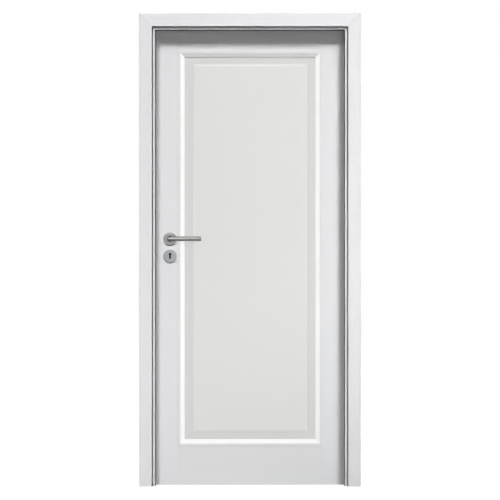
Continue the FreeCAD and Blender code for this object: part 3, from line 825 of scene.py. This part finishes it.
@dataclass
class Leaf:
    """The leaf's stiles, rails, panel and mouldings, and the lock in its edge."""

    easing: float = 0.4 * MM
    panel_easing: float = 1.2 * MM
    panel_segments: int = 3
    panel_least_angle: float = 8.0
    metal_easing: float = 0.3 * MM
    field_rise: float = 1.4 * MM

    def build(self) -> None:
        """Builds the woodwork and the lock."""
        wood = {"hinge_stile": LEAF_UPRIGHT, "lock_stile": LEAF_UPRIGHT,
                "top_rail": LEAF_LEVEL, "bottom_rail": LEAF_LEVEL}
        for node, finish in wood.items():
            add_piece(f"{node}_board", eased_copy(node, self.easing), finish, "leaf",
                      (node,), even_faces=True)
        panel = eased_copy("panel", self.panel_easing, self.panel_segments, self.panel_least_angle)
        # The border faces take the darker lacquer copy: painted shade in the recess.
        add_piece("raised_panel", panel, PANEL_LACQUER, "leaf", ("panel",), even_faces=True,
                  second=BORDER_SHADE_LACQUER, takes_second=self.on_border)
        for side in Side:
            for place in ("hinge", "lock", "top", "bottom"):
                node = f"{side.value}_moulding_{place}"
                # Level mouldings take the darker moulding lacquer copy, which is painted shade.
                if place in ("hinge", "lock"):
                    finish, band = MOULDING_UPRIGHT, BAND_UPRIGHT
                else:
                    finish, band = MOULDING_LEVEL_SHADED, BAND_LEVEL
                add_piece(f"{node}_strip", eased_copy(node, self.easing), finish, "leaf",
                          (node,), even_faces=True, second=band, takes_second=self.on_flat_band)
        self.build_lock()

    @staticmethod
    def on_flat_band(middle: Vector) -> bool:
        """Whether a face of a moulding lies on the flat band outside the panel's opening."""
        centre, half = MOULDING_MITRES.centre, MOULDING_MITRES.half_size
        return abs(middle.x - centre[0]) > half[0] or abs(middle.z - centre[2]) > half[2]

    def on_border(self, middle: Vector) -> bool:
        """Whether a face of the panel lies on the sunk border round its raised field, which takes the darker
        lacquer copy as painted shade.
        """
        low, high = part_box("panel")
        return low.y + self.field_rise < middle.y < high.y - self.field_rise

    def build_lock(self) -> None:
        """Builds the face plate, its screws and the bolts, and dresses the case."""
        dress("lock_case", LOCK_ZINC)
        for node in ("lock_face_plate", "latch_bolt", "dead_bolt"):
            add_piece(f"{node}_eased", eased_copy(node, self.metal_easing), PLATE_STEEL, "leaf",
                      (node,), even_faces=True)
        Screw().build_pair("face_plate_screw", "lock_face_plate", -1, "leaf")


# Handles


@dataclass
class HandleSet:
    """Lever, rose and key escutcheon on one face of the leaf."""

    side: Side
    steps: int = 96
    edge_steps: int = 8
    ring_steps: int = 5
    bar_steps: int = 48
    seam_steps: int = 3
    tip_steps: int = 5
    keyhole_steps: int = 28
    foot_gap: float = 1.0 * MM
    foot_inset: float = 0.7 * MM
    edge_round: float = 2.4 * MM
    ring_groove: float = 0.5 * MM
    ring_radius: float = 13.0 * MM
    ring_round: float = 0.7 * MM
    ring_play: float = 0.08 * MM
    seam_round: float = 0.9 * MM
    tip_round: float = 1.8 * MM
    keyhole_radius: float = 4.8 * MM
    keyhole_rise: float = 8.5 * MM
    keyhole_drop: float = 10.5 * MM
    keyhole_slot: float = 6.0 * MM
    keyhole_play: float = 0.7 * MM
    liner_wall: float = 0.25 * MM
    liner_depth: float = 12.5 * MM
    liner_play: float = 0.02 * MM
    liner_sunk: float = 0.4 * MM
    grub_radius: float = 2.4 * MM
    grub_steps: int = 24
    grub_proud: float = 0.1 * MM
    grub_foot: float = 0.4 * MM
    socket_radius: float = 1.3 * MM
    socket_corners: int = 6
    socket_depth: float = 0.8 * MM

    @property
    def outward(self) -> float:
        """Sign of the Y direction that this face looks to."""
        return -1.0 if self.side is Side.FRONT else 1.0

    def node(self, name: str) -> str:
        """Name of this side's CAD node."""
        return f"{self.side.value}_{name}"

    def depth_span(self, node: str) -> Pair:
        """The y on the leaf's side of a CAD node, and the y on its outer side."""
        low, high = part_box(node)
        return (high.y, low.y) if self.side is Side.FRONT else (low.y, high.y)

    def on_leaf(self, node: str) -> Matrix:
        """Matrix that stands a piece drawn along +Z on the leaf, in the middle of a CAD node.

        Args:
            node: The CAD node.

        Returns:
            The matrix.
        """
        middle = node_middle(node)
        axis = Vector((0, self.outward, 0))
        foot = Vector((middle.x, self.depth_span(node)[0], middle.z))
        up = Vector((0, 0, 1))
        across = up.cross(axis)
        turn = Matrix((across, up, axis)).transposed().to_4x4()
        return Matrix.Translation(foot) @ turn

    def build(self) -> None:
        """Builds the lever, its rose and the key escutcheon."""
        self.build_rose()
        self.build_lever()
        self.build_escutcheon()

    def cap_section(self, radius: float, thickness: float) -> list[Pair]:
        """Outer part of a rose's section, from its foot on the leaf to the edge of its flat top.

        Args:
            radius: The rose's radius.
            thickness: Its thickness.

        Returns:
            The points (radius, height).
        """
        inset = radius - self.foot_inset
        rim = arc_points((radius - self.edge_round, thickness - self.edge_round), self.edge_round, 0, 90,
                         self.edge_steps)
        return [(inset, 0.0), (inset, self.foot_gap), (radius, self.foot_gap), *rim]

    def build_rose(self) -> None:
        """Builds the rose's cap and the bearing ring round the lever's neck."""
        node = self.node("lever_rose")
        low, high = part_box(node)
        radius = (high.z - low.z) / 2
        foot, crown = self.depth_span(node)
        height = abs(crown - foot)
        thickness = abs(self.depth_span(self.node("key_escutcheon"))[1] - foot)
        bar_low, bar_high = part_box(self.node("lever"))
        bore = (bar_high.z - bar_low.z) / 2 + self.ring_play
        inner = self.ring_radius + self.ring_groove
        section = [(inner, 0.0), *self.cap_section(radius, thickness), (inner + self.ring_groove, thickness),
                   (inner, thickness - self.ring_groove)]
        cap = placed(turned_shape(section, self.steps, closed=True), self.on_leaf(node))
        add_piece(self.node("rose_cap"), cap, ROSE_STEEL, "leaf", (node,))
        outer = arc_points((self.ring_radius - self.ring_round, height - self.ring_round), self.ring_round,
                           0, 90, self.ring_steps)
        ring = [(bore, 0.0), (self.ring_radius, 0.0), *outer, (bore + self.ring_round / 2, height),
                (bore, height - self.ring_round / 2)]
        bearing = placed(turned_shape(ring, self.steps, closed=True), self.on_leaf(node))
        add_piece(self.node("rose_bearing"), bearing, BEARING_PLASTIC, "leaf")

    def build_lever(self) -> None:
        """Builds the lever from one ring of edges, drawn out to the mitred corner and on to the tip."""
        node = self.node("lever")
        low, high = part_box(node)
        radius = (high.z - low.z) / 2
        foot, outer = self.depth_span(node)
        axis_x, axis_z = low.x + radius, (low.z + high.z) / 2
        bar_y = outer - self.outward * radius
        shape = bmesh.new()
        stand = Matrix.Translation((axis_x, foot, axis_z)) @ Matrix.Rotation(math.pi / 2, 4, "X")
        bmesh.ops.create_circle(shape, segments=self.bar_steps, radius=radius, cap_ends=False, matrix=stand)
        base = shape.edges[:]
        seam = drawn_out(shape, base, lambda spot: Vector(
            (spot.x, bar_y - self.outward * (spot.x - axis_x), spot.z)))
        tip = drawn_out(shape, seam, lambda spot: Vector((high.x, spot.y, spot.z)))
        for loop in (base, tip):
            bmesh.ops.edgeloop_fill(shape, edges=loop)
        turned_outwards(shape)
        bevelled(shape, tip, self.tip_round, self.tip_steps)
        bevelled(shape, seam, self.seam_round, self.seam_steps)
        add_piece(self.node("lever_bar"), shape, LEVER_STEEL, "lever", (node,))
        self.build_set_screw(Vector((axis_x, (foot + bar_y) / 2, axis_z - radius)))

    def build_set_screw(self, at: Vector) -> None:
        """Builds the grub screw under the lever's neck.

        Args:
            at: Lowest point of the neck where the screw sits.
        """
        shape = bmesh.new()
        circle = arc_points((0, 0), self.grub_radius, 0, 360, self.grub_steps)[:-1]
        rim = outline_loop(shape, circle, self.grub_proud)
        corners = arc_points((0, 0), self.socket_radius, 0, 360, self.socket_corners)[:-1]
        socket = outline_loop(shape, corners, self.grub_proud)
        filled(shape, rim + socket)
        recess(shape, socket, self.socket_depth, floor=True)
        recess(shape, rim, self.grub_proud + self.socket_depth + self.grub_foot, floor=True)
        turned_outwards(shape)
        add_piece(self.node("lever_set_screw"), placed(shape, facing(Vector((0, 0, -1)), at)), SCREW_STEEL,
                  "lever")

    def keyhole_outline(self, inset: float) -> list[Pair]:
        """Outline of the keyhole, about the middle of its escutcheon.

        Args:
            inset: How far the outline is drawn inside the real one.

        Returns:
            The points (x, y), with y up the leaf.
        """
        radius = self.keyhole_radius - inset
        half = self.keyhole_slot / 2 - inset
        meet = math.degrees(math.asin(half / radius))
        head = arc_points((0, self.keyhole_rise), radius, meet - 90, 270 - meet, self.keyhole_steps)
        foot_low = -self.keyhole_drop + inset
        return [*head, (-half, foot_low), (half, foot_low)]

    def build_escutcheon(self) -> None:
        """Builds the escutcheon with its keyhole, and a black liner inside it that paints the shade deep in
        the keyhole.
        """
        node = self.node("key_escutcheon")
        low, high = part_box(node)
        foot, crown = self.depth_span(node)
        thickness = abs(crown - foot)
        shape = turned_shape(self.cap_section((high.z - low.z) / 2, thickness), self.steps, closed=False)
        rim = [edge for edge in shape.edges if edge.is_boundary and edge.verts[0].co.z > thickness / 2]
        hole = outline_loop(shape, self.keyhole_outline(-self.keyhole_play), thickness)
        filled(shape, rim + hole)
        recess(shape, hole, thickness, floor=False)
        merged(shape)
        bases = [edge for edge in shape.edges if edge.is_boundary]
        filled(shape, bases)
        turned_outwards(shape)
        add_piece(self.node("key_cover"), placed(shape, self.on_leaf(node)), ESCUTCHEON_STEEL, "leaf",
                  (node,))
        # The black liner paints the shade deep inside the keyhole.
        liner = bmesh.new()
        top = thickness - self.liner_sunk
        outer = outline_loop(liner, self.keyhole_outline(self.liner_play - self.keyhole_play), top)
        inner = outline_loop(liner, self.keyhole_outline(self.liner_wall), top)
        bmesh.ops.bridge_loops(liner, edges=outer + inner)
        recess(liner, inner, self.liner_depth, floor=True)
        recess(liner, outer, self.liner_depth + self.liner_wall, floor=True)
        turned_outwards(liner)
        add_piece(self.node("keyhole_shade_liner"), placed(liner, self.on_leaf(node)), KEYHOLE_SHADE, "leaf")


# Hinges


@dataclass
class Hinge:
    """One two-knuckle hinge with its pin and the caps on its ends."""

    place: str
    cap_height: float = 2.2 * MM
    cap_inset: float = 0.4 * MM
    groove: float = 0.35 * MM
    steps: int = 48
    dome_steps: int = 8

    def build(self) -> None:
        """Dresses the knuckles and the pin, and builds the end caps."""
        for part in ("frame_part", "leaf_part"):
            dress(f"{self.place}_hinge_{part}", HINGE_NICKEL)
        dress(f"{self.place}_hinge_pin", SCREW_STEEL)
        pin_low, pin_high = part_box(f"{self.place}_hinge_pin")
        axis = (pin_low + pin_high) / 2
        radius = (pin_high.x - pin_low.x) / 2 - self.cap_inset
        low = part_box(f"{self.place}_hinge_frame_part")[0].z
        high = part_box(f"{self.place}_hinge_leaf_part")[1].z
        for end, body, z, way in (("bottom", "frame", low, -1), ("top", "leaf", high, 1)):
            dome = arc_points((0, 0), 1.0, 0, 90, self.dome_steps)
            profile = [(radius - self.groove, -self.groove), (radius - self.groove, 0.0)]
            profile += [(radius * x, self.groove + (self.cap_height - self.groove) * y) for x, y in dome[:-1]]
            profile += [(0.0, self.cap_height), (0.0, -self.groove)]
            shape = turned_shape(profile, self.steps, closed=True)
            cap = placed(shape, facing(Vector((0, 0, way)), Vector((axis.x, axis.y, z))))
            add_piece(f"{self.place}_hinge_cap_{end}", cap, HINGE_NICKEL, body)


# Studio


def add_light(name: str, at: Sequence[float], target: Vector, size: Sequence[float], power: float,
              shape: str = "ELLIPSE", beam: float = 180.0) -> bpy.types.Object:
    """Adds an area light.

    Args:
        name: Name of the light.
        at: Its place.
        target: The point that it faces.
        size: Its width and height in metres.
        power: Its power in watts.
        shape: Shape of its face.
        beam: Width of its beam in degrees.

    Returns:
        The light.
    """
    lamp = bpy.data.lights.new(name, "AREA")
    lamp.shape = shape
    lamp.size, lamp.size_y = size
    lamp.energy = power
    lamp.spread = math.radians(beam)
    light = bpy.data.objects.new(name, lamp)
    light.location = at
    light.rotation_euler = (target - Vector(at)).to_track_quat("-Z", "Y").to_euler()
    bpy.context.scene.collection.objects.link(light)
    return light


@dataclass(frozen=True)
class GridLamp:
    """Wide lamp behind a grid, which lights one side of the door and fades out over the other side.

    The drift is the way to the lamp, sideways and up, for each metre towards it. The span is the lowest
    and the highest point of the door's plane that the middle of its light falls on. The level is how
    bright it shows a white surface that is square on to the camera.
    """

    name: str
    drift: Pair
    span: Pair
    level: float
    width: float = 3.0
    distance: float = 6.4
    beam: float = 17.0

    def build(self, middle: float) -> bpy.types.Object:
        """Builds the lamp.

        Args:
            middle: Where the light has faded to half, as a place along X on the door's plane.

        Returns:
            The light.
        """
        sideways, upward = self.drift
        low, high = self.span
        way = Vector((sideways, -1.0, upward))
        level_way = math.hypot(1.0, sideways)
        height = (high - low) * level_way / way.length
        aim = Vector((middle + math.copysign(self.width / 2 * level_way, sideways), 0.0, (low + high) / 2))
        at = aim + way.normalized() * self.distance
        power = self.level * math.pi * self.width * height * way.length
        return add_light(self.name, at, aim, (self.width, height), power, "RECTANGLE", self.beam)


@dataclass
class Studio:
    """Floor, light and camera."""

    distance: float = 40.0
    picture_width: float = 2.1573
    sensor: float = 36.0
    eye_height: float = 1.0205
    furthest_seen: float = 1000.0
    left_key: GridLamp = GridLamp("left key", drift=(-0.162, 0.735), span=(-0.53, 3.2), level=0.65)
    right_key: GridLamp = GridLamp("right key", drift=(0.284, 0.735), span=(-0.02, 3.2), level=0.83)
    right_key_overlap: float = 0.10
    low_at: Triple = (1.9, -7.0, 1.0)
    low_size: Pair = (1.5, 1.5)
    low_power: float = 31.0
    back_at: Triple = (-2.6, 6.0, 3.6)
    back_size: Pair = (2.5, 2.5)
    back_power: float = 330.0
    fill: float = 0.25
    floor_half: float = 60.0
    floor_glow: float = 0.88
    floor_shade: float = 0.20
    floor_grey: float = 0.25
    shadow_middle: Triple = (-0.43, 1.5, 0.0)
    shadow_reach: Pair = (1.8, 3.0)

    def build(self) -> None:
        """Builds the whole studio."""
        self.build_floor()
        self.build_world()
        target = (CAD_LOW + CAD_HIGH) / 2
        right_key = self.right_key.build(target.x - self.right_key_overlap)
        self.spare_levers(self.left_key.build(target.x), right_key)
        add_light("low light", self.low_at, target, self.low_size, self.low_power)
        add_light("back light", self.back_at, target, self.back_size, self.back_power)
        self.build_camera()
        bpy.context.scene.view_settings.view_transform = "Standard"

    @staticmethod
    def seen_mask(sheet: Sheet) -> Socket:
        """Mask of the rays that show the background: camera, glossy and transmission rays.

        Args:
            sheet: The sheet of the floor or the world.

        Returns:
            Socket of the mask.
        """
        path = sheet.add("LightPath").outputs
        seen = sheet.math("MAXIMUM", path["Is Camera Ray"], path["Is Glossy Ray"])
        return sheet.math("MAXIMUM", seen, path["Is Transmission Ray"])

    def build_floor(self) -> None:
        """Builds the pale floor, which looks white and still takes the object's shadow."""
        shape = bmesh.new()
        bmesh.ops.create_grid(shape, x_segments=1, y_segments=1, size=self.floor_half)
        mesh = bpy.data.meshes.new("floor")
        shape.to_mesh(mesh)
        shape.free()
        floor = bpy.data.objects.new("floor", mesh)
        bpy.context.scene.collection.objects.link(floor)
        sheet, where = start_material("Floor")
        reach = sheet.add("VectorMath", {0: where, 1: self.shadow_middle}, operation="DISTANCE")
        near, far = self.shadow_reach
        strength = sheet.add("MapRange", {"Value": reach.outputs["Value"], "From Min": near, "From Max": far,
                                          "To Min": self.floor_glow, "To Max": 1.0})
        glow = sheet.add("Emission", {"Color": (1, 1, 1, 1), "Strength": strength.outputs[0]})
        shade = sheet.add("BsdfDiffuse", {"Color": (self.floor_shade,) * 3 + (1,)})
        shown = sheet.add("AddShader", {0: glow.outputs[0], 1: shade.outputs[0]})
        plain = sheet.add("BsdfDiffuse", {"Color": (self.floor_grey,) * 3 + (1,)})
        mix = sheet.add("MixShader", {0: self.seen_mask(sheet), 1: plain.outputs[0], 2: shown.outputs[0]})
        sheet.add("OutputMaterial", {"Surface": mix.outputs[0]})
        mesh.materials.append(bpy.data.materials["Floor"])

    def build_world(self) -> None:
        """Builds the fill light and the white background."""
        world = bpy.data.worlds.new("studio")
        bpy.context.scene.world = world
        world.use_nodes = True
        sheet = Sheet(world.node_tree)
        fill = sheet.add("Background", {"Color": (1, 1, 1, 1), "Strength": self.fill})
        white = sheet.add("Background", {"Color": (1, 1, 1, 1), "Strength": 1.0})
        mix = sheet.add("MixShader", {0: self.seen_mask(sheet), 1: fill.outputs[0], 2: white.outputs[0]})
        sheet.add("OutputWorld", {"Surface": mix.outputs[0]})

    @staticmethod
    def spare_levers(*lights: bpy.types.Object) -> None:
        """Lets lights pass the levers, which cast no hard shadow in the photograph.

        Args:
            lights: The lights.
        """
        spared = bpy.data.collections.new("spared from the keys")
        for side in Side:
            spared.objects.link(bpy.data.objects[f"{side.value}_lever_bar"])
        for entry in spared.collection_objects:
            entry.light_linking.link_state = "EXCLUDE"
        for light in lights:
            light.light_linking.blocker_collection = spared

    def build_camera(self) -> None:
        """Builds the level camera square on to the push side."""
        data = bpy.data.cameras.new("camera")
        data.sensor_width = self.sensor
        data.lens = self.sensor * self.distance / self.picture_width
        data.clip_end = self.furthest_seen
        camera = bpy.data.objects.new("camera", data)
        camera.location = ((CAD_LOW.x + CAD_HIGH.x) / 2, CAD_LOW.y - self.distance, self.eye_height)
        camera.rotation_euler = (math.pi / 2, 0, 0)
        bpy.context.scene.collection.objects.link(camera)
        bpy.context.scene.camera = camera


def main() -> None:
    """Builds the door's pieces in order, and the studio round them."""
    logging.basicConfig(level=logging.INFO, format="%(name)s: %(message)s")
    DoorFrame().build()
    Leaf().build()
    for side in Side:
        HandleSet(side).build()
    dress("spindle", SCREW_STEEL)
    for place in ("upper", "lower"):
        Hinge(place).build()
    Studio().build()


if __name__ == "__main__":
    main()
